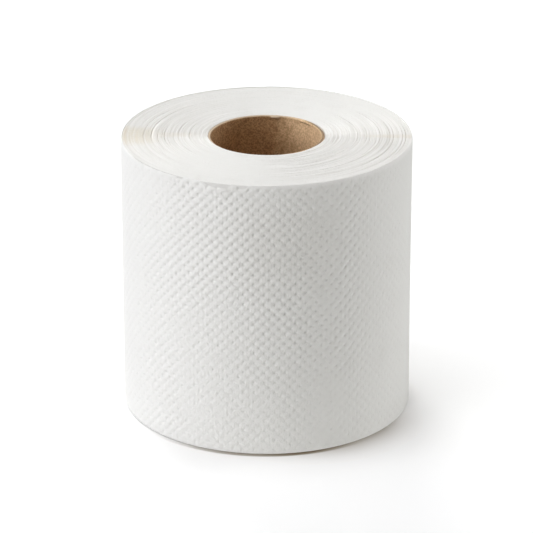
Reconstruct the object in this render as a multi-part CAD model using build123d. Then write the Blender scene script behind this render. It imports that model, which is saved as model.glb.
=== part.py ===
from build123d import *
import os

# A toilet paper roll standing on its end: a two-ply sheet wound round a cardboard tube.
# Millimetres. The origin is the centre of the lower end, on the roll's axis, with +Z up.
# The sheet winds outwards counterclockwise, seen from above, and its end lies at +Y.

# Driving dimensions of the sheet and its winding
SHEET_WIDTH = 100.0
SHEET_THICKNESS = 0.29
TURNS = 105

# Driving dimensions of the cardboard tube
CORE_BORE = 39.4
CORE_WALL = 0.9
CORE_RECESS = 0.4

# Driving dimensions of the gap between turns that shows as a line on both ends
SHEETS_PER_GAP = 10
GAP_WIDTH = 0.5
GAP_DEPTH = 0.45

# The tube and the winding share this radius, so they meet face to face
core_radius = CORE_BORE / 2 + CORE_WALL
roll_radius = core_radius + TURNS * SHEET_THICKNESS
gap_pitch = SHEETS_PER_GAP * SHEET_THICKNESS

# The gap leaves a closed band, one pitch wide, beside the tube and beside the rim
gap_half_turns = 2 * (TURNS - 2 * SHEETS_PER_GAP) // SHEETS_PER_GAP


def crossing(first, pitch, half_turns):
    """Where a spiral crosses the Y axis, a number of half turns after y = first."""
    reach = first + half_turns * pitch / 2
    return reach if half_turns % 2 == 0 else -reach


def half_turn(start, end):
    """Half a turn of the spiral, counterclockwise, between two crossings of the Y axis."""
    radius = abs(start - end) / 2
    side = -radius if start > end else radius
    return ThreePointArc((0, start), (side, (start + end) / 2), (0, end))


def tissue_outline():
    """The last turn of the sheet: two half turns, and the step down at the sheet's end."""
    inner = roll_radius - SHEET_THICKNESS / 2
    y = [crossing(inner, SHEET_THICKNESS, i) for i in range(3)]
    step = Line((0, y[2]), (0, y[0]))
    return make_face([half_turn(y[0], y[1]), half_turn(y[1], y[2]), step])


def turn_gap(end_z, inwards):
    """The V-shaped spiral gap between turns, as a solid to take out of one end."""
    first = core_radius + gap_pitch
    bottom = end_z + inwards * GAP_DEPTH
    above = end_z - inwards * GAP_DEPTH
    halves = []
    for i in range(gap_half_turns):
        start = crossing(first, gap_pitch, i)
        end = crossing(first, gap_pitch, i + 1)
        corners = [
            (0, start, bottom),
            (0, start + GAP_WIDTH, above),
            (0, start - GAP_WIDTH, above),
        ]
        section = make_face(Polyline(*corners, close=True))
        centre_line = Axis((0, (start + end) / 2, 0), (0, 0, 1))
        halves.append(revolve(section, centre_line, 180))
    return halves[0].fuse(*halves[1:])


def tissue_roll():
    """The wound sheet, one solid from the tube out to the loose end."""
    winding = extrude(tissue_outline(), SHEET_WIDTH)
    bore = extrude(Circle(core_radius), SHEET_WIDTH)
    return winding - bore - turn_gap(SHEET_WIDTH, -1) - turn_gap(0, 1)


def core_tube():
    """The cardboard tube, a little shorter than the sheet is wide."""
    wall = Circle(core_radius) - Circle(CORE_BORE / 2)
    return Pos(0, 0, CORE_RECESS) * extrude(wall, SHEET_WIDTH - 2 * CORE_RECESS)


os.makedirs("parts", exist_ok=True)
export_step(tissue_roll(), "parts/tissue_roll.step")
export_step(core_tube(), "parts/core_tube.step")
print("roll", round(2 * roll_radius, 2), "x", SHEET_WIDTH, "mm, bore", CORE_BORE, "mm")
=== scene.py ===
# %% [markdown]
# A toilet paper roll stands on its end. Two things make it up: a soft white sheet with
# embossed dots, wound about a hundred times, and a cardboard tube in the middle.
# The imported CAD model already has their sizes. Here each one is made again with the fine
# shapes that light picks out: the edges of the turns, the dots and the worn rims.

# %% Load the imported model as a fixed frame
import functools
import math
import random

import bmesh
import bpy
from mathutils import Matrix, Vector


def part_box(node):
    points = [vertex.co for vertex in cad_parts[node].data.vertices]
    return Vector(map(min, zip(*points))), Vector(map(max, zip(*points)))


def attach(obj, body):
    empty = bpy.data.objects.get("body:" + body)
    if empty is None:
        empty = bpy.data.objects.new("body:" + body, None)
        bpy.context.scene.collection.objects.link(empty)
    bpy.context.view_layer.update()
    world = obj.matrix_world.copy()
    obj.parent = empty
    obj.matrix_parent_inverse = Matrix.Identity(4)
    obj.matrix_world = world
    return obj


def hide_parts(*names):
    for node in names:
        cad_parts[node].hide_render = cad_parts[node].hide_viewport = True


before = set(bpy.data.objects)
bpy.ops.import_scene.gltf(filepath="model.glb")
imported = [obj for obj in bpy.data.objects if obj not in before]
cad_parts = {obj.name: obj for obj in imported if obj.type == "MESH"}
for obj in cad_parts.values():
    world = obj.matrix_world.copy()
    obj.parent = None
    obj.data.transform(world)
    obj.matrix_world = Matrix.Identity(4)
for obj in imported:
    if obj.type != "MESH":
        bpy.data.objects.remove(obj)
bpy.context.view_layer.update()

print("CAD nodes:", sorted(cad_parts))

# %% [markdown]
# Sizes come from the CAD nodes, so that every piece here fits them. Blender works in
# metres, and paper is easier to think about in millimetres, so MM turns one into the other.

# %% Read the roll's sizes from the frame
MM = 0.001
TURNS = 105

roll_low, roll_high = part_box("tissue_roll")
tube_low, tube_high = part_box("core_tube")
roll_radius = (roll_high.x - roll_low.x) / 2
core_radius = (tube_high.x - tube_low.x) / 2
sheet_width = roll_high.z - roll_low.z
sheet_thickness = (roll_radius - core_radius) / TURNS
print(f"roll {roll_radius / MM:.2f} mm in radius, sheet {sheet_thickness / MM:.3f} mm thick")

# %% [markdown]
# The camera is a long lens, a little above the roll. Its distance and height were fitted
# to the outlines of the two ends: the nearer a camera stands, the more their ellipses differ.

# %% Set up the camera
CAMERA_LENS = 238.3
CAMERA_DISTANCE = 1.2559
CAMERA_ELEVATION = math.radians(22.142)

aim = Vector((0, 0, sheet_width / 2))
towards_camera = Vector((0, -math.cos(CAMERA_ELEVATION), math.sin(CAMERA_ELEVATION)))
camera = bpy.data.objects.new("camera", bpy.data.cameras.new("camera"))
camera.data.lens = CAMERA_LENS
camera.data.sensor_width = 36
camera.location = aim + CAMERA_DISTANCE * towards_camera
camera.rotation_euler = towards_camera.to_track_quat("Z", "Y").to_euler()
bpy.context.scene.collection.objects.link(camera)
bpy.context.scene.camera = camera
print("camera at", [round(value, 3) for value in camera.location])

# %% [markdown]
# Shapes that follow a rule are made by Geometry Nodes, and finishes by shader nodes. Both
# are graphs of small sums. A helper lets them be written as Python expressions: each
# Number stands for a socket, and a plus or a minus sign adds the node that does the sum.


# %% Write node graphs as Python expressions
class Graph:
    """A node tree, and one method that adds a node to it."""

    def __init__(self, tree):
        self.tree = tree

    def node(self, kind, settings=None, sockets=None, out=0):
        made = self.tree.nodes.new(kind)
        for name, value in (settings or {}).items():
            setattr(made, name, value)
        for name, value in (sockets or {}).items():
            self.plug(value, made.inputs[name])
        return Number(self, made.outputs[out])

    def plug(self, value, socket):
        if isinstance(value, Number):
            self.tree.links.new(value.socket, socket)
        else:
            socket.default_value = value


class Number:
    """A value that varies over a surface, as one node's output socket."""

    def __init__(self, graph, socket):
        self.graph = graph
        self.socket = socket

    def output(self, name):
        return Number(self.graph, self.socket.node.outputs[name])

    def math(self, operation, *values):
        sockets = dict(enumerate(values))
        return self.graph.node("ShaderNodeMath", {"operation": operation}, sockets)

    def __add__(self, other):
        return self.math("ADD", self, other)

    def __sub__(self, other):
        return self.math("SUBTRACT", self, other)

    def __rsub__(self, other):
        return self.math("SUBTRACT", other, self)

    def __mul__(self, other):
        return self.math("MULTIPLY", self, other)

    def __truediv__(self, other):
        return self.math("DIVIDE", self, other)

    def __mod__(self, other):
        return self.math("FLOORED_MODULO", self, other)

    def __lt__(self, other):
        return self.math("LESS_THAN", self, other)

    def __gt__(self, other):
        return self.math("GREATER_THAN", self, other)

    def __abs__(self):
        return self.math("ABSOLUTE", self)

    def __neg__(self):
        return self.math("MULTIPLY", self, -1)

    def floor(self):
        return self.math("FLOOR", self)

    def least(self, other):
        return self.math("MINIMUM", self, other)

    def most(self, other):
        return self.math("MAXIMUM", self, other)

    def sine(self):
        return self.math("SINE", self)

    def cosine(self):
        return self.math("COSINE", self)

    def exp(self):
        return self.math("EXPONENT", self)

    def root(self):
        return self.math("SQRT", self)

    __radd__ = __add__
    __rmul__ = __mul__


# %% Add the sums that both kinds of graph need
def smooth_step(value, start, end):
    """0 up to start, 1 from end on, and a soft rise between them. It falls if end < start."""
    sockets = {"Value": value, "From Min": start, "From Max": end}
    settings = {"interpolation_type": "SMOOTHSTEP"}
    return value.graph.node("ShaderNodeMapRange", settings, sockets)


def between(value, stations):
    """0 before the first station, 1 from the second to the third, 0 after the fourth."""
    rise, full, fall, end = stations
    return smooth_step(value, rise, full) * smooth_step(value, end, fall)


def noise(vector_or_number, scale, detail=2.0, dimensions="3D"):
    """Smooth noise around 0, mostly from -0.5 to 0.5."""
    graph = vector_or_number.graph
    place = "W" if dimensions == "1D" else "Vector"
    sockets = {place: vector_or_number, "Scale": scale, "Detail": detail}
    return graph.node("ShaderNodeTexNoise", {"noise_dimensions": dimensions}, sockets) - 0.5


def vector(x, y, z):
    """Three numbers as one vector."""
    graph = next(value.graph for value in (x, y, z) if isinstance(value, Number))
    return graph.node("ShaderNodeCombineXYZ", sockets={"X": x, "Y": y, "Z": z})


def pick(number, values):
    """The value from the list at this whole number, and 0 past either end of the list."""
    total = 0
    for place, value in enumerate(values):
        total = (abs(number - place) < 0.5) * value + total
    return total


def near_bearing(east, north, bearing, half_width, softness):
    """1 near a bearing, in degrees from +X towards +Y. East and north are a unit vector."""
    along = east * math.cos(math.radians(bearing)) + north * math.sin(math.radians(bearing))
    outside = math.cos(math.radians(half_width + softness))
    inside = math.cos(math.radians(half_width - softness))
    return smooth_step(along, outside, inside)


# %% [markdown]
# A Geometry Nodes tree is like a recipe with named amounts. These helpers make the recipe
# with its inputs, set the amounts on a modifier by each input's identifier, and keep the
# result as a plain mesh, because the export wants finished meshes and not recipes.


# %% Build a Geometry Nodes recipe and keep its mesh
SOCKET_OF = {int: "NodeSocketInt", float: "NodeSocketFloat"}


def new_recipe(name, amounts):
    """A Geometry Nodes tree with these named inputs. Returns its graph and the inputs."""
    tree = bpy.data.node_groups.new(name, "GeometryNodeTree")
    tree.interface.new_socket("Geometry", in_out="OUTPUT", socket_type="NodeSocketGeometry")
    for label, value in amounts.items():
        kind = SOCKET_OF.get(type(value), "NodeSocketMaterial")
        tree.interface.new_socket(label, in_out="INPUT", socket_type=kind)
    graph = Graph(tree)
    entry = graph.node("NodeGroupInput")
    return graph, {label: entry.output(label) for label in amounts}


def finish_recipe(graph, geometry, material):
    """End a tree the way the export needs: real faces, with their material set."""
    real = graph.node("GeometryNodeRealizeInstances", sockets={"Geometry": geometry})
    sockets = {"Geometry": real, "Material": material}
    painted = graph.node("GeometryNodeSetMaterial", sockets=sockets)
    exit_node = graph.tree.nodes.new("NodeGroupOutput")
    graph.plug(painted, exit_node.inputs[0])


def cook(name, tree, amounts):
    """Run a tree with these amounts, and keep the result as a plain mesh object."""
    holder = bpy.data.objects.new("holder", bpy.data.meshes.new("holder"))
    bpy.context.scene.collection.objects.link(holder)
    modifier = holder.modifiers.new("recipe", "NODES")
    modifier.node_group = tree
    for item in tree.interface.items_tree:
        if item.in_out == "INPUT":
            modifier[item.identifier] = amounts[item.name]
    evaluated = holder.evaluated_get(bpy.context.evaluated_depsgraph_get())
    mesh = bpy.data.meshes.new_from_object(evaluated)
    holder.modifiers.clear()
    bpy.data.objects.remove(holder)
    piece = bpy.data.objects.new(name, mesh)
    bpy.context.scene.collection.objects.link(piece)
    return piece


def tidy_mesh(piece, sharp_degrees, split_quads=False):
    """Close the holes, turn the faces outwards and keep only the real corners sharp."""
    mesh = bmesh.new()
    mesh.from_mesh(piece.data)
    open_edges = [edge for edge in mesh.edges if edge.is_boundary]
    caps = bmesh.ops.holes_fill(mesh, edges=open_edges)["faces"]
    bmesh.ops.triangulate(mesh, faces=[face for face in caps if len(face.verts) > 4])
    if split_quads:
        bmesh.ops.triangulate(mesh, faces=mesh.faces, quad_method="LONG_EDGE")
    bmesh.ops.recalc_face_normals(mesh, faces=mesh.faces)
    for face in mesh.faces:
        face.smooth = True
    still_open = sum(1 for edge in mesh.edges if not edge.is_manifold)
    mesh.to_mesh(piece.data)
    mesh.free()
    piece.data.set_sharp_from_angle(angle=math.radians(sharp_degrees))
    triangles = sum(len(face.vertices) - 2 for face in piece.data.polygons)
    print(f"{piece.name}: {triangles} triangles, {still_open} edges not closed")


# %% [markdown]
# The sheet is embossed with a lattice of small pits, one at each corner and one in the
# middle of each square, and the paper between them puffs up a little. Faces fine enough
# for crisp pits would be too many, so the mesh carries a soft version of the pattern and
# the finish sharpens it with a bump. Both read the same description, so they stay in step.
# Handling has pressed the pattern flatter in places, above all on the sides and low down,
# so the description also says how much of it is left at each point.

# %% Give the sizes of the embossed lattice, in millimetres
CELLS_AROUND = 89
CELL_HEIGHT = 3.64
LATTICE_SHIFT_AROUND = 0.34
LATTICE_SHIFT_UP = 0.06
PIT_JITTER = 0.16
girth = math.tau * roll_radius / MM
width = sheet_width / MM
cell_length = girth / CELLS_AROUND
print(f"lattice cell {cell_length:.3f} x {CELL_HEIGHT} mm")


# %% Say where the embossing is worn flatter
# Places around the roll are in millimetres from the middle of the side that faces the
# camera, positive to the right, and places up it are in millimetres from the lower end.
# Four values say where a change starts, where it is whole, where it fades and where it
# ends, and two values only where it starts and where it is whole.
RIGHT_SIDE = (26.0, 42.0, 75.0, 95.0)
LEFT_SIDE = (-95.0, -75.0, -40.0, -20.0)
FRONT_SIDE = (-36.0, -28.0, 28.0, 40.0)
FADED_AROUND = (-36.0, -27.0, -17.0, -7.0)
FADED_UP = (4.0, 14.0, 48.0, 64.0)
CRISP_AROUND = (-14.0, -4.0, 24.0, 32.0)
CRISP_UP = (22.0, 36.0, 56.0, 70.0)
CORNER_AROUND = (-26.0, -40.0)
CORNER_UP = (86.0, 96.0)
LOW_DOWN = (62.0, 12.0)

# The share of the pattern that is lost, or gained, in each place
RIGHT_LOSS = 0.58
LEFT_LOSS = 0.25
CORNER_LOSS = 0.55
FOOT_LOSS = 0.05
FRONT_FOOT_LOSS = 0.45
FADED_LOSS = 0.3
CRISP_GAIN = 0.2


def worn_emboss(along, up, place):
    """How much of the embossing is left here, about 1 where it is crisp."""
    patches = smooth_step(noise(place, 0.055, 2.0), -0.34, 0.10) * 0.5 + 0.62
    right = 1 - between(along, RIGHT_SIDE) * RIGHT_LOSS
    left = 1 - between(along, LEFT_SIDE) * LEFT_LOSS
    corner = 1 - smooth_step(along, *CORNER_AROUND) * smooth_step(up, *CORNER_UP) * CORNER_LOSS
    foot_loss = between(along, FRONT_SIDE) * FRONT_FOOT_LOSS + FOOT_LOSS
    low = 1 - smooth_step(up, *LOW_DOWN) * foot_loss
    faded = 1 - between(along, FADED_AROUND) * between(up, FADED_UP) * FADED_LOSS
    crisp = 1 + between(along, CRISP_AROUND) * between(up, CRISP_UP) * CRISP_GAIN
    return patches * right * left * corner * low * faded * crisp


# %% Describe the embossed pattern once
# The puffs are ribs along both diagonals, lower on the sides: some fall to the right and
# some rise. A pit is a soft oval where two grooves between the ribs cross. Next to the
# rims a strip stays plain, wider on the right than on the left.
SMOOTH_LEFT = (-130.0, -100.0, -62.0, -40.0)
SMOOTH_RIGHT = (20.0, 45.0, 100.0, 130.0)
LEFT_PUFF_LOSS = 0.8
RIGHT_PUFF_LOSS = 0.4
FALLING_RIBS = 0.4
RISING_RIBS = 0.6
PIT_LENGTH = 1.65
PIT_BREADTH = 1.25
PLAIN_RIM = 0.6
PLAIN_RIM_GAIN = 1.9
PLAIN_RIM_AROUND = (-35.0, 35.0)


def emboss(along, up, place, puff_height, pit_depth, pit_radius):
    """Height in mm, and 1 in each pit. The point is in mm: around from the front, up, in space."""
    cells_along = along / cell_length - LATTICE_SHIFT_AROUND
    cells_up = up / CELL_HEIGHT - LATTICE_SHIFT_UP
    falling = cells_along + cells_up
    rising = cells_along - cells_up
    flat_left = between(along, SMOOTH_LEFT) * LEFT_PUFF_LOSS
    flat_right = between(along, SMOOTH_RIGHT) * RIGHT_PUFF_LOSS
    ribs = (falling * math.tau).cosine() * FALLING_RIBS + (rising * math.tau).cosine() * RISING_RIBS
    puff = ribs * -puff_height * (1 - flat_left - flat_right)
    pit_falling = (falling + 0.5).floor()
    pit_rising = (rising + 0.5).floor()
    this_pit = {"Vector": vector(pit_falling, pit_rising, 0.0)}
    lot = along.graph.node("ShaderNodeTexWhiteNoise", {"noise_dimensions": "3D"}, this_pit)
    lots = along.graph.node("ShaderNodeSeparateXYZ", sockets={0: lot.output("Color")})
    across = (falling - pit_falling + rising - pit_rising) * (cell_length / 2)
    across = across + (lots - 0.5) * PIT_JITTER
    rise = (falling - pit_falling - rising + pit_rising) * (CELL_HEIGHT / 2)
    rise = rise + (lots.output("Y") - 0.5) * PIT_JITTER
    lengthways = (across + rise) / (pit_radius * PIT_LENGTH)
    crossways = (across - rise) / (pit_radius * PIT_BREADTH)
    from_pit = lengthways * lengthways + crossways * crossways
    depth = (lots.output("Z") * 0.4 + 0.8) * pit_depth
    plain_rim = smooth_step(along, *PLAIN_RIM_AROUND) * PLAIN_RIM_GAIN + PLAIN_RIM
    from_rim = up.least(width - up)
    pressed = smooth_step(from_rim / plain_rim, 0.15, 1.0)
    pressed = pressed * worn_emboss(along, up, place)
    pit = (-from_pit).exp()
    return (puff - pit * depth) * pressed, pit * pressed


# %% [markdown]
# The last turn's upper edge isn't cut clean with the others. On the left it has slipped
# down by a hair, as far as a small nick, and then it dips in two shallow scallops that
# bare the smooth turn below. All four follow the rim, so each is a range of bearings. The
# mesh of the last turn reads them, and so does the finish of the turn below, which paints
# shade on it where it is bared.

# %% Say how the last turn's edge departs from a clean cut
# Degrees from the side that faces the camera, positive to the right
SLIP = (-70, -60, -38, -37)
NICK = (-37.6, -36.6, -34.2, -33.0)
FIRST_SCALLOP = (-27.5, -20.5, -15.5, -13.2)
SECOND_SCALLOP = (-12.0, -10.4, -8.0, -6.4)


def edge_profile(front, slip, nick, first, second):
    """The largest of the four departures at this bearing, each with its own size."""
    ragged = 0.9 + noise(front, 0.5, 3.0, "1D") * 1.2
    total = between(front, SLIP) * ragged * slip
    total = total.most(between(front, NICK) * nick)
    total = total.most(between(front, FIRST_SCALLOP) * first)
    return total.most(between(front, SECOND_SCALLOP) * second)


# %% [markdown]
# White tissue is matt and uneven. Its fibres make a fine fuzz, and where it was dried on
# a roller it has crepe: fine creases that run across the sheet, up and down on this roll.
# Both are far too fine for faces, so they are bumps in the finish. All patterns read the
# object's own coordinates in millimetres, so they stay in place from any side.

# %% Start a finish that reads the object's place in millimetres
PAPER_SHINE = 0.2


def new_finish(name):
    """A material with a clean tree. Returns it, its graph and the place in millimetres."""
    material = bpy.data.materials.new(name)
    material.use_nodes = True
    material.node_tree.nodes.clear()
    graph = Graph(material.node_tree)
    place = graph.node("ShaderNodeTexCoord").output("Object")
    settings = {"operation": "SCALE"}
    return material, graph, graph.node("ShaderNodeVectorMath", settings, {0: place, "Scale": 1 / MM})


def finish_surface(graph, colour, roughness, height_mm):
    """A matt surface with this colour, roughness and height of its fine relief."""
    sockets = {"Height": height_mm, "Distance": MM, "Strength": 1.0}
    bumped = graph.node("ShaderNodeBump", sockets=sockets)
    sockets = {
        "Base Color": colour,
        "Roughness": roughness,
        "Specular IOR Level": PAPER_SHINE,
        "Normal": bumped,
    }
    surface = graph.node("ShaderNodeBsdfPrincipled", sockets=sockets)
    output = graph.tree.nodes.new("ShaderNodeOutputMaterial")
    graph.plug(surface, output.inputs["Surface"])


def mix_colours(factor, first, second):
    """From the first colour at 0 to the second at 1."""
    settings = {"data_type": "RGBA"}
    sockets = {0: factor, 6: (*first, 1) if isinstance(first, tuple) else first}
    sockets[7] = (*second, 1) if isinstance(second, tuple) else second
    return factor.graph.node("ShaderNodeMix", settings, sockets, out=2)


# %% Make the finish of the sheet's face, with its crepe
# Shade is painted into the pits, most on the right, and onto the wall's upper middle; a
# little of the pits' darkness is the pressed paper's own. The thin upper edge is painted
# paler, except on the left, as painted light that comes through it. Places are in mm, as in the wear.
PAPER_WHITE = (0.895, 0.89, 0.86)
PAPER_SHADE = (0.84, 0.83, 0.795)
PIT_SHADE = (0.66, 0.65, 0.62)
THIN_EDGE = (0.985, 0.975, 0.95)
CREPE_HEIGHT = 0.18
FIBRE_HEIGHT = 0.2
CRISP_PATTERN = {"puff_height": 0.065, "pit_depth": 0.185, "pit_radius": 0.46}
SHADED_AROUND = (-20.0, -2.0, 14.0, 32.0)
SHADED_UP = (52.0, 76.0, 84.0, 98.0)
SHADED_PITS_AROUND = (-8.0, 22.0)
THIN_EDGE_AROUND = (-20.0, 20.0)
THIN_EDGE_UP = (width - 2.0, width - 0.3)


def sheet_face_finish():
    material, graph, place = new_finish("tissue face")
    xyz = graph.node("ShaderNodeSeparateXYZ", sockets={0: place})
    x, y, z = xyz, xyz.output("Y"), xyz.output("Z")
    around = x.math("ARCTAN2", x, -y) * (roll_radius / MM)
    crepe = noise(vector(around * 1.3, z * 0.2, 8.0), 1.0, 4.0)
    fibres = noise(place, 1.6, 5.0)
    clouds = noise(place, 0.09, 2.0)
    pattern, pit = emboss(around, z, place, **CRISP_PATTERN)
    relief = crepe * CREPE_HEIGHT + fibres * FIBRE_HEIGHT + pattern
    # Painted shade on the wall's upper middle
    painted_upper_shade = between(around, SHADED_AROUND) * between(z, SHADED_UP)
    shade = smooth_step(clouds + fibres * 0.6, 0.1, 0.6).most(painted_upper_shade * 0.7)
    colour = mix_colours(shade, PAPER_WHITE, PAPER_SHADE)
    # Painted shade in the pits, most on the right; a little is the pressed paper's own darker tone
    painted_pit_shade = pit * pit * pit * (smooth_step(around, *SHADED_PITS_AROUND) * 0.3 + 0.05)
    colour = mix_colours(painted_pit_shade, colour, PIT_SHADE)
    # Painted light on the thin upper edge, except on the left
    edge = smooth_step(z, *THIN_EDGE_UP) * smooth_step(around, *THIN_EDGE_AROUND)
    colour = mix_colours(edge * 0.8, colour, THIN_EDGE)
    finish_surface(graph, colour, 0.92 + fibres * 0.1, relief)
    return material


tissue_face = sheet_face_finish()
print("finish:", tissue_face.name)


# %% [markdown]
# The two ends of the roll show the sheet's cut edges. Where the turns are loose, each turn's
# edge is a little paler or duller than the next: partly its own tone, partly painted light on
# raised edges and painted shade on sunk ones. Shade is painted into the gaps between the
# turns, and faint tan patches cross the edges on the left and on the right. The mesh notes how
# open, how loose and how pale each point is in named attributes, and the finish reads
# them. The tan patches go by the bearing of the point, because they run straight outwards.

# %% Make the finish of the sheet's cut edges
# Each tan patch: bearing in degrees from +X towards +Y, half its width and how soft its sides
# are in degrees, the radii in mm between which it sets in, and its strength. The bared
# shares say how much painted shade darkens the turn below the last one at the slip, nick
# and scallops, and the bared radii are those between which this sets in.
# Painted shade in the gaps between the turns
PAINTED_GAP_SHADE = (0.70, 0.66, 0.59)
TAN_COLOUR = (0.87, 0.82, 0.72)
# Raised edges are painted paler and sunk ones duller: partly their own tone, partly painted light and
# shade
RAISED_EDGE = (0.975, 0.965, 0.94)
SUNK_EDGE = (0.89, 0.88, 0.85)
# Painted shade on the turn bared by the slip, nick and scallops
PAINTED_CREVICE_SHADE = (0.42, 0.40, 0.38)
TAN_PATCHES = [
    (181, 8, 6, 34.0, 46.0, 1.0),
    (180, 3, 2, 22.0, 30.0, 0.4),
    (-2, 1.8, 1.2, 30.0, 42.0, 0.6),
]
BARED_SHARES = (0.5, 0.3, 0.15, 0.1)
BARED_RADII = (roll_radius / MM - 0.42, roll_radius / MM - 0.3)


def tan_share(radius, east, north):
    """Up to 1 where the edges are tan."""
    shares = []
    for bearing, half_width, softness, inner, outer, strength in TAN_PATCHES:
        across = near_bearing(east, north, bearing, half_width, softness)
        shares.append(across * smooth_step(radius, inner, outer) * strength)
    return functools.reduce(Number.most, shares)


def cut_edge_finish():
    material, graph, place = new_finish("tissue cut edges")
    fuzz = noise(place, 1.1, 4.0)
    fibres = noise(place, 3.5, 3.0)
    clouds = noise(place, 0.12, 2.0)
    gap = graph.node("ShaderNodeAttribute", {"attribute_name": "gap"}, out="Fac")
    loose = graph.node("ShaderNodeAttribute", {"attribute_name": "loose"}, out="Fac")
    tone = graph.node("ShaderNodeAttribute", {"attribute_name": "tone"}, out="Fac")
    shade = smooth_step(clouds + fuzz * 0.6, 0.0, 0.5)
    colour = mix_colours(shade, PAPER_WHITE, PAPER_SHADE)
    # Partly the turns' own tone, partly painted light on raised edges and painted shade on sunk ones
    turn_colour = mix_colours(smooth_step(tone + fuzz * 0.15, -0.3, 0.3), RAISED_EDGE, SUNK_EDGE)
    colour = mix_colours(loose * 0.8 + 0.2, colour, turn_colour)
    xyz = graph.node("ShaderNodeSeparateXYZ", sockets={0: place})
    x, y, z = xyz, xyz.output("Y"), xyz.output("Z")
    radius = (x * x + y * y).root()
    streaks = noise(radius, 1.3, 2.0, "1D")
    blotches = fuzz + streaks * 0.6 + smooth_step(tone, -0.25, 0.25) * 0.35 + 0.48
    colour = mix_colours(tan_share(radius, x / radius, y / radius) * blotches, colour, TAN_COLOUR)
    front = x.math("ARCTAN2", x, -y) * (180 / math.pi)
    # Painted shade on the turn bared by the slip, nick and scallops
    outermost = smooth_step(radius, *BARED_RADII)
    bared = edge_profile(front, *BARED_SHARES) * outermost * (z > width / 2)
    colour = mix_colours(bared, colour, PAINTED_CREVICE_SHADE)
    # Painted shade in the gaps between the turns
    colour = mix_colours(gap, colour, PAINTED_GAP_SHADE)
    finish_surface(graph, colour, 0.95 + fuzz * 0.05, fuzz * 0.2 + fibres * 0.08)
    return material


tissue_edges = cut_edge_finish()
print("finish:", tissue_edges.name)

# %% [markdown]
# Most turns press together and look like one soft surface, and here and there two turns
# stand apart and leave a fine line. It could be one spiral groove, but then every turn
# would show alike. So a long strip is bent into the spiral, three faces across for each
# turn, with a valley between any two turns. The valleys open more at the listed lines.

# %% Say where the lines between the turns show
# Each line: radius in mm, bearing of its middle in degrees from +X towards +Y, half its
# length in degrees, and how open it is
OPEN_LINES = [
    (39.7, -16, 57, 0.9), (32.1, -19, 60, 0.75), (44.5, -16, 30, 1.0), (26.5, -48, 37, 0.8),
    (48.7, -8, 20, 1.0), (42.4, -7, 24, 0.7), (43.4, -1, 18, 0.9), (24.1, 4, 34, 0.5),
    (47.5, -6, 17, 0.85), (37.6, -18, 31, 0.4), (34.2, 2, 18, 0.6), (26.4, 20, 21, 0.5),
    (46.0, 10, 14, 0.6), (35.2, 0, 11, 0.8), (36.2, 2, 15, 0.55), (34.6, -34, 12, 0.6),
    (48.6, -66, 20, 0.4), (30.0, -14, 17, 0.4), (41.5, -4, 9, 0.6), (34.4, -72, 14, 0.5),
    (42.1, -61, 15, 0.4), (29.3, -68, 14, 0.4), (38.3, -6, 10, 0.4), (32.9, 5, 6, 0.5),
    (40.4, 172, 44, 0.78), (38.3, 174, 41, 0.62), (32.7, 174, 37, 0.62), (31.1, 186, 34, 0.62),
    (27.3, 172, 30, 0.7), (44.4, 184, 44, 0.39), (43.1, 172, 26, 0.66), (35.8, 182, 18, 0.78),
    (29.8, 166, 30, 0.47), (25.5, 164, 29, 0.47), (36.8, 185, 22, 0.58), (22.3, 197, 22, 0.51),
    (49.1, 191, 22, 0.51), (23.4, 185, 25, 0.39), (34.6, 180, 16, 0.58), (29.0, 192, 16, 0.39),
    (48.1, 194, 11, 0.58), (46.4, 192, 8, 0.47), (49.1, 124, 42, 0.31), (42.4, 185, 7, 0.47),
]
print(len(OPEN_LINES), "lines")

# %% Say how far the turns stand apart, and how high
# The shares are of one turn's thickness: the sloping side of a valley at rest, and how
# much wider an open line makes it. Each side of the roll where the turns are loose has
# its bearing, half its width and how soft its ends are, in degrees. Fine lines and the
# turns' tones spread some degrees further. Points nearer than the weld gap become one.
LAND_SHARE = 0.22
LINE_SHARE = 0.26
WELD_GAP = 0.004 * MM
LOOSE_LEFT = (171, 35, 16)
LOOSE_RIGHT = (-28, 46, 14)
LINE_SPREAD = 12
TONE_SPREAD = 8
LINE_END = 12


def loose_sides(east, north, spread):
    """Up to 1 on the left and right of the roll's end, where the turns are loose, 0 between."""
    bearing, half_width, softness = LOOSE_LEFT
    left = near_bearing(east, north, bearing, half_width + spread, softness) * 0.85
    bearing, half_width, softness = LOOSE_RIGHT
    right = near_bearing(east, north, bearing, half_width + spread, softness)
    return left.most(right)


def openness(boundary, bearing, east, north):
    """How far two turns stand apart at their boundary: 0 pressed together, 1 open."""
    loose = smooth_step(noise(boundary, 2.3, 1.0, "1D"), -0.12, 0.16)
    total = loose * (loose_sides(east, north, LINE_SPREAD) * 0.35 + 0.1)
    for radius_mm, middle, half_width, strength in OPEN_LINES:
        share = ((middle - 90) % 360) / 360
        lap = round((radius_mm * MM - core_radius) / sheet_thickness + 0.5 - share)
        on_line = (1 - abs(boundary - lap - bearing) * 2).most(0.0)
        along_line = near_bearing(east, north, middle, half_width, LINE_END)
        total = total.most(on_line * along_line * strength)
    return total


def sunk(lap, east, north):
    """How far a turn's edge lies below its neighbours' (above where negative), up to about 1."""
    single = noise(vector(lap * 0.83, east * 1.3, north * 1.3), 1.0, 1.0)
    group = noise(vector(lap * 0.3, east * 0.9, north * 0.9), 1.0, 1.0)
    return single * 1.5 + group * 1.2


print("a valley takes", round(2 * LAND_SHARE * sheet_thickness / MM, 3), "mm of each turn")


# %% Lay the strip along the spiral, as one flat end
STRIP_ROWS = 4


def spiral_radius(lap, core, thickness):
    """Distance from the axis of the boundary between turns, a number of laps from the tube."""
    first_lap = lap.least(1.0)
    return core + thickness * (first_lap * first_lap / 2 + (lap - 1.0).most(0.0))


def on_spiral(radius, bearing, z):
    """The point on the roll at a radius and a share of a turn counterclockwise from +Y."""
    angle = bearing * math.tau
    return vector(-radius * angle.sine(), radius * angle.cosine(), z)


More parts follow.
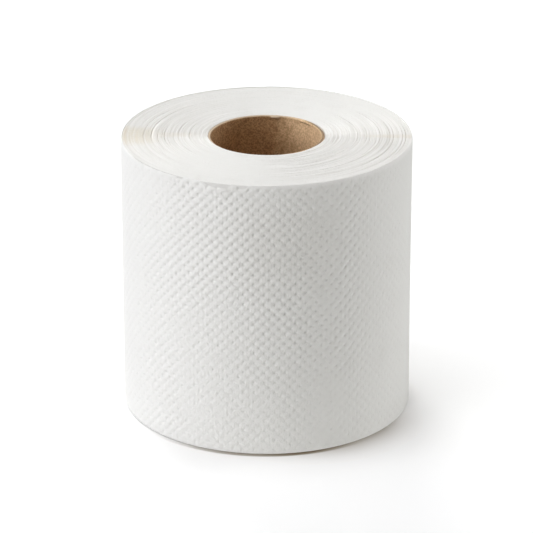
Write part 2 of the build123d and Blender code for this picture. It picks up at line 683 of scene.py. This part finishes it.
def flat_end(graph, size):
    """One end of the wound turns as a flat strip, with the depth of each point noted."""
    columns = size["Turns"] * size["Columns per Turn"] + 1
    grid_size = {"Vertices X": columns, "Vertices Y": STRIP_ROWS}
    strip = graph.node("GeometryNodeMeshGrid", sockets=grid_size)
    index = graph.node("GeometryNodeInputIndex")
    column = (index / STRIP_ROWS).floor()
    row = index % STRIP_ROWS
    lap = column / size["Columns per Turn"]
    bearing = (column % size["Columns per Turn"]) / size["Columns per Turn"]
    east = -(bearing * math.tau).sine()
    north = (bearing * math.tau).cosine()
    open_here = openness(lap + (row > 1.5), bearing, east, north)
    valley = (row < 0.5) + (row > 2.5)
    share = LAND_SHARE + open_here * LINE_SHARE
    across = pick(row, [0.0, share, 1 - share, 1.0])
    radius = spiral_radius(lap + across, size["Core Radius"], size["Sheet Thickness"])
    loose = loose_sides(east, north, TONE_SPREAD)
    tone = sunk(lap, east, north) * (loose * 0.7 + 0.3)
    depth = (tone + 0.2).most(0.0) * size["Unevenness"]
    depth = depth + valley * (size["Valley Depth"] + open_here * size["Gap Depth"])
    sockets = {"Geometry": strip, "Position": on_spiral(radius, bearing, 0.0)}
    strip = graph.node("GeometryNodeSetPosition", sockets=sockets)
    notes = {"depth": depth, "gap": valley * open_here, "tone": tone, "loose": loose}
    for label, value in notes.items():
        sockets = {"Geometry": strip, "Name": label, "Value": value}
        strip = graph.node("GeometryNodeStoreNamedAttribute", {"data_type": "FLOAT"}, sockets)
    return graph.node("GeometryNodeMergeByDistance", sockets={"Geometry": strip, "Distance": WELD_GAP})


# %% Say how the outermost turns give way at the rims
# How far in from the outside the rims are rounded, in mm, at the upper and the lower end
RIM_REACH = 1.4
FOOT_REACH = 4.5


def worn_rim(radius, reach_mm):
    """0 up to a few millimetres from the outside, and 1 there."""
    inwards = (roll_radius - radius) / (reach_mm * MM)
    rest = (1 - inwards).most(0.0)
    return rest * rest


# %% Join two ends with walls, and let the valleys sink in
def wound_turns_recipe(amounts):
    """The whole winding: both ends, the wall towards the tube and the outer wall."""
    graph, size = new_recipe("wound turns", amounts)
    end = flat_end(graph, size)
    down = vector(0.0, 0.0, -size["Sheet Width"])
    one_face = graph.node("GeometryNodeInputMeshEdgeNeighbors") < 1.5
    sockets = {"Mesh": end, "Selection": one_face, "Offset": down, "Offset Scale": 1.0}
    walled = graph.node("GeometryNodeExtrudeMesh", {"mode": "EDGES"}, sockets)
    lower = graph.node("GeometryNodeTransform", sockets={"Geometry": end, "Translation": down})
    lower = graph.node("GeometryNodeFlipFaces", sockets={"Mesh": lower})
    joined = graph.node("GeometryNodeJoinGeometry", sockets={0: walled})
    graph.plug(lower, joined.socket.node.inputs[0])
    solid = graph.node("GeometryNodeMergeByDistance", sockets={"Geometry": joined, "Distance": WELD_GAP})
    xyz = graph.node("ShaderNodeSeparateXYZ", sockets={0: graph.node("GeometryNodeInputPosition")})
    upper_end = xyz.output("Z") > -size["Sheet Width"] / 2
    depth = graph.node("GeometryNodeInputNamedAttribute", {"data_type": "FLOAT"}, {"Name": "depth"})
    radius = (xyz * xyz + xyz.output("Y") * xyz.output("Y")).root()
    upper_depth = depth + worn_rim(radius, RIM_REACH) * size["Rim Wear"]
    lower_depth = depth + worn_rim(radius, FOOT_REACH) * size["Foot Lift"]
    shift = size["Sheet Width"] + lower_depth - upper_end * (upper_depth + lower_depth)
    sockets = {"Geometry": solid, "Offset": vector(0.0, 0.0, shift)}
    settled = graph.node("GeometryNodeSetPosition", sockets=sockets)
    finish_recipe(graph, settled, size["Material"])
    return graph.tree


# %% Wind the turns
winding_amounts = {
    "Turns": TURNS - 1,
    "Columns per Turn": 104,
    "Core Radius": core_radius,
    "Sheet Thickness": sheet_thickness,
    "Sheet Width": sheet_width,
    "Unevenness": 0.33 * MM,
    "Valley Depth": 0.05 * MM,
    "Gap Depth": 0.6 * MM,
    "Rim Wear": 0.22 * MM,
    "Foot Lift": 0.3 * MM,
    "Material": tissue_edges,
}
wound_turns = cook("wound_turns", wound_turns_recipe(winding_amounts), winding_amounts)
tidy_mesh(wound_turns, 75)
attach(wound_turns, "root")
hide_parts("tissue_roll")

# %% [markdown]
# The last turn of the sheet is the one whose face shows. A grid of faces could be spread
# evenly, but then most pits would fall between its points. Here the grid's columns and
# rows stand close together at each pit and far apart between pits. Its upper rim is soft
# and thin, and where it has slipped or dips it stands off a little from the turn below.

# %% Space the grid's lines closely at the pits
PIT_SPREAD = 0.42


def pit_spacing(line, pitch, shift, limit):
    """Where a grid line lies: three lines at each half cell, kept between 0 and limit."""
    half_cell = (line / 3).floor() - 1 + 2 * shift
    place = half_cell * (pitch / 2) + ((line % 3) - 1) * PIT_SPREAD
    return place.most(0.0).least(limit)


def lines_needed(pitch, length):
    """How many grid lines cover this length, three to a half cell, with some to spare."""
    return 3 * (math.ceil(2 * length / pitch) + 3)


# %% Lay the grid along the wall and round both rims
# The grid goes up the outside, over the rim, down the inside and back to its first row.
# The steps are how far below the upper rim its last outer rows lie, in mm. The inner rows
# lie at the rim, EDGE_REACH below it, EDGE_REACH above the foot, at the foot, and on the
# first row, which they close on.
EDGE_REACH = 7.0
RIM_STEPS = [0.7, 0.6, 0.35, 0.15, 0.04, 0.0]
INNER_ROWS = 5


def grid_places(row, column, face_rows):
    """How far round and how far up each point lies, in mm, and 1 on the outside, 0 inside."""
    along = pit_spacing(column, cell_length, LATTICE_SHIFT_AROUND, girth)
    on_face = row < face_rows - 0.5
    inner_row = row - face_rows
    up = pit_spacing(row, CELL_HEIGHT, LATTICE_SHIFT_UP, width) * on_face
    up = up - pick(row - (face_rows - len(RIM_STEPS)), RIM_STEPS)
    up = up + pick(inner_row, [width, width - EDGE_REACH, EDGE_REACH])
    return along, up, on_face.most(inner_row > INNER_ROWS - 1.5)


# %% Say how the face stands out
# In mm: how far it stands out by itself, over which distance the pattern sets in at the
# sheet's two ends, and how high above the foot the lower rim is rounded
FACE_OUT = 0.1
SHEET_END = (0.3, 2.0)
FOOT_REACH_UP = 0.6


def face_height(along, up, size):
    """How far the outside stands out, in mm: puffs, pits, slack and the thinner rims."""
    angle = along / girth * math.tau
    here = vector(-angle.sine() * roll_radius / MM, angle.cosine() * roll_radius / MM, up)
    puff_and_pit = (size["Puff Height"], size["Pit Depth"], size["Pit Radius"])
    pattern, _ = emboss(along - girth / 2, up, here, *puff_and_pit)
    from_end = along.least(girth - along)
    face = pattern * smooth_step(from_end, *SHEET_END) + noise(here, 0.028, 1.0) * size["Slack"]
    top_rim = (1 - (width - up) / RIM_REACH).most(0.0)
    low_rim = (1 - up / FOOT_REACH_UP).most(0.0)
    return face + FACE_OUT - (top_rim * top_rim + low_rim * low_rim) * size["Edge Thinning"]


# %% Write the recipe of the last turn
# At the slip, the nick and the two scallops: how far the upper rim stands off from the
# turn below, and how much lower it lies, in mm
STAND_OFF = (0.4, 0.25, 0.35, 0.15)
DROP = (0.25, 0.8, 1.5, 1.3)


def last_turn_recipe(amounts):
    """The turn whose face shows, from the step at the back once round to it."""
    graph, size = new_recipe("last turn", amounts)
    across = lines_needed(cell_length, girth)
    face_rows = lines_needed(CELL_HEIGHT, width)
    rows = face_rows + INNER_ROWS
    grid = graph.node("GeometryNodeMeshGrid", sockets={"Vertices X": across, "Vertices Y": rows})
    index = graph.node("GeometryNodeInputIndex")
    along, up, outside = grid_places(index % rows, (index / rows).floor(), face_rows)
    bearing = along / girth
    front = (bearing - 0.5) * 360
    near_top = smooth_step(up, width - EDGE_REACH + 1, width)
    near_base = smooth_step(up, EDGE_REACH / 2, 0.0)
    stand_off = edge_profile(front, *STAND_OFF)
    drop = edge_profile(front, *DROP)
    lap = bearing + (TURNS - 1) + outside
    radius = spiral_radius(lap, size["Core Radius"], size["Sheet Thickness"])
    radius = radius + (face_height(along, up, size) * outside + stand_off * near_top) * MM
    z = (up - near_top * drop + near_base * size["Foot Lift"]) * MM
    sockets = {"Geometry": grid, "Position": on_spiral(radius, bearing, z)}
    wound = graph.node("GeometryNodeSetPosition", sockets=sockets)
    wound = graph.node("GeometryNodeMergeByDistance", sockets={"Geometry": wound, "Distance": WELD_GAP})
    finish_recipe(graph, wound, size["Material"])
    return graph.tree


# %% Wind the last turn
last_turn_amounts = {
    "Core Radius": core_radius,
    "Sheet Thickness": sheet_thickness,
    "Pit Radius": 0.52,
    "Pit Depth": 0.095,
    "Puff Height": 0.045,
    "Slack": 0.25,
    "Edge Thinning": 0.33,
    "Foot Lift": 0.3,
    "Material": tissue_face,
}
last_turn = cook("last_turn", last_turn_recipe(last_turn_amounts), last_turn_amounts)
tidy_mesh(last_turn, 60, split_quads=True)
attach(last_turn, "root")
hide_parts("tissue_roll")

# %% [markdown]
# The tube is plain brown cardboard, speckled with fibres of two shades, and its inside is
# painted paler on the right than on the left, as painted light. Its cut rim is pale too,
# apart from the right, where it is painted dark as painted shade. At the back the knife left
# a fuzzy burr, and next to it the edge of the inner ply has lifted, with a thin painted
# shadow under both. On the right the tube leans in a little. A plain ring couldn't carry
# this wear, so the wall is drawn anew for each step around.

# %% Make the finish of the cardboard
# Each side has the colours of its dark and its pale fibres. The pale right side is painted
# light and sets in between two distances to the right of the roll's axis, in mm.
DARK_SIDE = ((0.32, 0.183, 0.088), (0.58, 0.36, 0.19))
PAINTED_LIGHT_SIDE = ((0.65, 0.44, 0.25), (0.93, 0.68, 0.42))
CUT_CARDBOARD = (0.70, 0.56, 0.41)
PAINTED_SHADE_CARDBOARD = (0.17, 0.115, 0.07)
PAINTED_LIGHT_FROM = (0.0, 13.0)


def cardboard_finish():
    material, graph, place = new_finish("cardboard")
    x = graph.node("ShaderNodeSeparateXYZ", sockets={0: place})
    mottle = noise(place, 0.35, 3.0)
    specks = noise(place, 1.5, 3.0)
    fibres = noise(place, 4.0, 2.0)
    cut = graph.node("ShaderNodeAttribute", {"attribute_name": "cut"}, out="Fac")
    speckle = smooth_step(specks + mottle * 0.25 + fibres * 0.6, -0.2, 0.2)
    # The right side of the bore is painted paler, as painted light
    side = smooth_step(x + mottle * 10.0, *PAINTED_LIGHT_FROM)
    brown = mix_colours(side, mix_colours(speckle, *DARK_SIDE), mix_colours(speckle, *PAINTED_LIGHT_SIDE))
    colour = mix_colours(cut.most(0.0), brown, CUT_CARDBOARD)
    # Where the cut is negative, shade is painted: on the right of the rim and under the burr and the
    # lifted ply
    colour = mix_colours((-cut).most(0.0), colour, PAINTED_SHADE_CARDBOARD)
    finish_surface(graph, colour, 0.85 + specks * 0.1, mottle * 0.06 + specks * 0.12 + fibres * 0.05)
    return material


cardboard = cardboard_finish()
print("finish:", cardboard.name)

# %% Say where the tube's rim is worn
# Bearings in degrees from the back, positive to the right; lengths in millimetres
TUBE_WALL = 0.9
BURR = (3.0, 6.0, 12.0, 15.0)
LIFTED_PLY = (31.0, 37.0, 54.0, 60.0)
SHADED_PLY = (35.0, 41.0, 49.0, 55.0)
LEANING_SIDE = (45.0, 75.0, 110.0, 140.0)
HIGH_RIM = (-75.0, -20.0, 35.0, 75.0)
PALE_RIM = (-175.0, -160.0, 15.0, 45.0)
# Where the rim is painted dark, as painted shade
PAINTED_SHADE_RIM = (30.0, 60.0, 120.0, 160.0)
LEAN_LENGTH = 0.35
BURR_LENGTH = 0.6
PLY_LENGTH = 0.3
RISE_LENGTH = 0.3
EDGE_LENGTH = 0.25


def share_between(value, stations):
    """The same as between(), for a plain number."""
    rise, full, fall, end = stations
    start = min(max((value - rise) / (full - rise), 0.0), 1.0)
    stop = min(max((end - value) / (end - fall), 0.0), 1.0)
    return start * start * (3 - 2 * start) * stop * stop * (3 - 2 * stop)


# %% Draw the tube's wall as one closed outline
def tube_outline(bearing, ragged):
    """Points (radius, height, paleness of the cut, with painted shade where it is negative) from the
    foot outside, over the rim, and down.
    """
    outer = core_radius / MM
    bore = outer - TUBE_WALL
    low, high = tube_low.z / MM, tube_high.z / MM
    lean = LEAN_LENGTH * share_between(bearing, LEANING_SIDE)
    burr = BURR_LENGTH * share_between(bearing, BURR)
    frayed = burr / BURR_LENGTH
    lip = burr + PLY_LENGTH * share_between(bearing, LIFTED_PLY)
    shaded = max(0.7 * share_between(bearing, SHADED_PLY), burr)
    high = high + RISE_LENGTH * share_between(bearing, HIGH_RIM) + ragged
    pale = 0.15 + 0.85 * share_between(bearing, PALE_RIM)
    # On the right the rim is painted dark, as painted shade
    pale = pale - 0.9 * share_between(bearing, PAINTED_SHADE_RIM)
    return [
        (outer, low + EDGE_LENGTH, 0),
        (outer, high - 3.5, 0),
        (outer - lean, high - 0.3, 0),
        (outer - lean - 0.15, high, pale),
        (bore - lean + EDGE_LENGTH - lip, high, pale),
        (bore - lean - lip, high - 0.2, max(pale * 0.3, frayed)),
        (bore - lean - lip, high - 0.55, frayed),
        # Painted shadow under the burr and the lifted ply
        (bore - lean - lip * 0.2, high - 0.85 - burr * 0.3, -shaded),
        (bore - lean * 0.9 + 0.1 * lip, high - 1.25, 0),
        (bore - lean * 0.5, high - 2.2, 0),
        (bore, high - 4.5, 0),
        (bore, low + EDGE_LENGTH, 0),
        (bore + EDGE_LENGTH, low, 1),
        (outer - EDGE_LENGTH, low, 1),
    ]


# %% Turn the tube
TUBE_STEPS = 256


def make_tube():
    """The cardboard tube as a closed ring of outlines."""
    chance = random.Random(5)
    mesh = bmesh.new()
    cut = mesh.verts.layers.float.new("cut")
    rings = []
    for step in range(TUBE_STEPS):
        bearing = 360 * step / TUBE_STEPS - 180
        out = Vector((math.sin(math.radians(bearing)), math.cos(math.radians(bearing)), 0))
        ring = []
        for radius, height, paleness in tube_outline(bearing, chance.uniform(-0.04, 0.04)):
            point = mesh.verts.new((out * radius + Vector((0, 0, height))) * MM)
            point[cut] = paleness
            ring.append(point)
        rings.append(ring)
    for here, there in zip(rings, rings[1:] + rings[:1]):
        for i in range(len(here)):
            mesh.faces.new((here[i - 1], there[i - 1], there[i], here[i]))
    data = bpy.data.meshes.new("cardboard_tube")
    mesh.to_mesh(data)
    mesh.free()
    data.materials.append(cardboard)
    tube = bpy.data.objects.new("cardboard_tube", data)
    bpy.context.scene.collection.objects.link(tube)
    return tube


tube = make_tube()
tidy_mesh(tube, 60)
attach(tube, "root")
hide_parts("core_tube")

# %% [markdown]
# The roll stands on a white floor that fades into a white background. The floor is lit as
# a plain pale surface, so it keeps the roll's own shadow, and a little light of its own,
# seen by the camera alone, lifts the lit part to white. Lamps that are soft enough for
# that shadow leave out the thin dark line where the roll touches the floor and the deeper
# shade close to it, so the floor's finish darkens there, most on the front right, and not
# in the bore. On the front right the floor also gives the wall a little light, which the
# camera doesn't see on the floor itself.

# %% Say how the floor darkens at the roll's foot
# Bearings in degrees from the side that faces the camera, positive to the right. After
# them: how dark, and the distance in mm over which the shade fades.
BROAD_SHADE = ((-80.0, -20.0, 90.0, 135.0), 0.15, 10.0)
DEEP_SHADE = ((-8.0, 40.0, 48.0, 82.0), 0.46, 6.5)
CONTACT_LINE = (-56.0, -8.0, 6.0, 44.0)
CONTACT_DARKNESS = 0.56
CONTACT_END = (1.9, 0.8)


def foot_shadow(from_foot, front):
    """How much darker the floor looks near the foot, by distance in mm and by bearing."""
    total = between(front, CONTACT_LINE) * CONTACT_DARKNESS * smooth_step(from_foot, *CONTACT_END)
    for stations, darkness, reach in (BROAD_SHADE, DEEP_SHADE):
        total = between(front, stations) * darkness * (from_foot / -reach).exp() + total
    return total


# %% Make the floor
# The floor's size is in metres. The lift and the glow reach the camera alone, and the fill
# everything else. The fill is on a range of bearings and fades out between two distances
# from the foot. The bore ends between two distances from the axis. Distances are in mm.
FLOOR_SIZE = 12
FLOOR_COLOUR = 0.80
FLOOR_LIFT = 0.045
FLOOR_GLOW = 0.265
FLOOR_FILL = 0.23
FILLING_SIDE = (-45.0, 5.0, 50.0, 88.0)
FILL_END = (60.0, 30.0)
BORE_END = (30.0, 40.0)
SHADOW_TINT = (0.95, 1.0, 1.06)


def make_floor():
    bpy.ops.mesh.primitive_plane_add(size=FLOOR_SIZE)
    floor = bpy.context.object
    floor.name = "floor"
    material, graph, place = new_finish("white floor")
    x = graph.node("ShaderNodeSeparateXYZ", sockets={0: place})
    y = x.output("Y")
    radius = (x * x + y * y).root()
    from_foot = (radius - roll_radius / MM).most(0.0)
    beyond_bore = smooth_step(radius, *BORE_END)
    front = x.math("ARCTAN2", x, -y) * (180 / math.pi)
    seen = graph.node("ShaderNodeLightPath").output("Is Camera Ray")
    shadow = foot_shadow(from_foot, front) * beyond_bore * seen
    lit = [1 - shadow * share for share in SHADOW_TINT]
    pale = seen * FLOOR_LIFT + FLOOR_COLOUR
    colour = vector(*[pale * part for part in lit])
    matt = graph.node("ShaderNodeBsdfDiffuse", sockets={"Color": colour})
    fill = between(front, FILLING_SIDE) * smooth_step(from_foot, *FILL_END)
    fill = (1 - seen) * fill * beyond_bore * FLOOR_FILL
    light = [seen * part * beyond_bore * FLOOR_GLOW + fill for part in lit]
    glow = graph.node("ShaderNodeEmission", sockets={"Color": vector(*light)})
    both = graph.node("ShaderNodeAddShader", sockets={0: matt, 1: glow})
    output = graph.tree.nodes.new("ShaderNodeOutputMaterial")
    graph.plug(both, output.inputs["Surface"])
    floor.data.materials.append(material)


make_floor()

# %% [markdown]
# Plain studio light. Sun lamps with a wide angle are soft, and light the floor evenly. Two
# low cool lamps on the left make the left side the brightest and draw out the dots. A weak
# warm one in front fills the middle, one on the right brightens the right edge, and one at
# the back the rim of the top end. Four more, high up, light the top end. Their strengths
# were fitted to the roll's tones, and together they light a colour about as it is written.

# %% Say what lamps there are
# Each lamp: bearing from the camera's side, positive to the right, and height above the
# floor, both in degrees, then its strength and its colour
LAMP_WIDTH = 30
COOL = (0.985, 0.995, 1.055)
WARM = (1.07, 1.02, 0.88)
WHITE = (1.0, 1.0, 1.0)
LAMPS = {
    "left lamp": (-90, 15, 0.98, COOL),
    "front left lamp": (-60, 15, 0.60, COOL),
    "front lamp": (0, 15, 0.21, WARM),
    "right lamp": (112, 15, 1.25, WHITE),
    "back lamp": (-165, 30, 1.46, WHITE),
    "upper back left lamp": (-120, 65, 0.30, WHITE),
    "upper left lamp": (-60, 65, 0.64, WHITE),
    "upper front lamp": (5, 65, 0.32, WHITE),
    "overhead lamp": (0, 90, 0.50, WHITE),
}


# %% Place the lamps
def add_lamp(name, bearing, elevation, strength, colour):
    """A soft sun lamp that shines on the roll from this bearing and height."""
    lamp = bpy.data.objects.new(name, bpy.data.lights.new(name, "SUN"))
    lamp.data.energy = strength
    lamp.data.color = colour
    lamp.data.angle = math.radians(LAMP_WIDTH)
    turn = math.radians(bearing)
    tilt = math.radians(elevation)
    level = Vector((math.sin(turn), -math.cos(turn), 0)) * math.cos(tilt)
    from_roll = level + Vector((0, 0, math.sin(tilt)))
    lamp.rotation_euler = from_roll.to_track_quat("Z", "Y").to_euler()
    bpy.context.scene.collection.objects.link(lamp)
    print(name, strength)


for lamp_name, lamp_settings in LAMPS.items():
    add_lamp(lamp_name, *lamp_settings)

# %% [markdown]
# The background is plain white, and the world behind it must not light the roll as well.
# So the world shines at strength 1, which is white, for rays that come straight from the
# camera, and not at all for the others.

# %% Make the background white for the camera alone
world = bpy.data.worlds.new("studio")
world.use_nodes = True
sky = Graph(world.node_tree)
background = world.node_tree.nodes["Background"]
background.inputs["Color"].default_value = (1, 1, 1, 1)
sky.plug(sky.node("ShaderNodeLightPath").output("Is Camera Ray"), background.inputs["Strength"])
bpy.context.scene.world = world
bpy.context.scene.view_settings.view_transform = "Standard"
print("world:", world.name)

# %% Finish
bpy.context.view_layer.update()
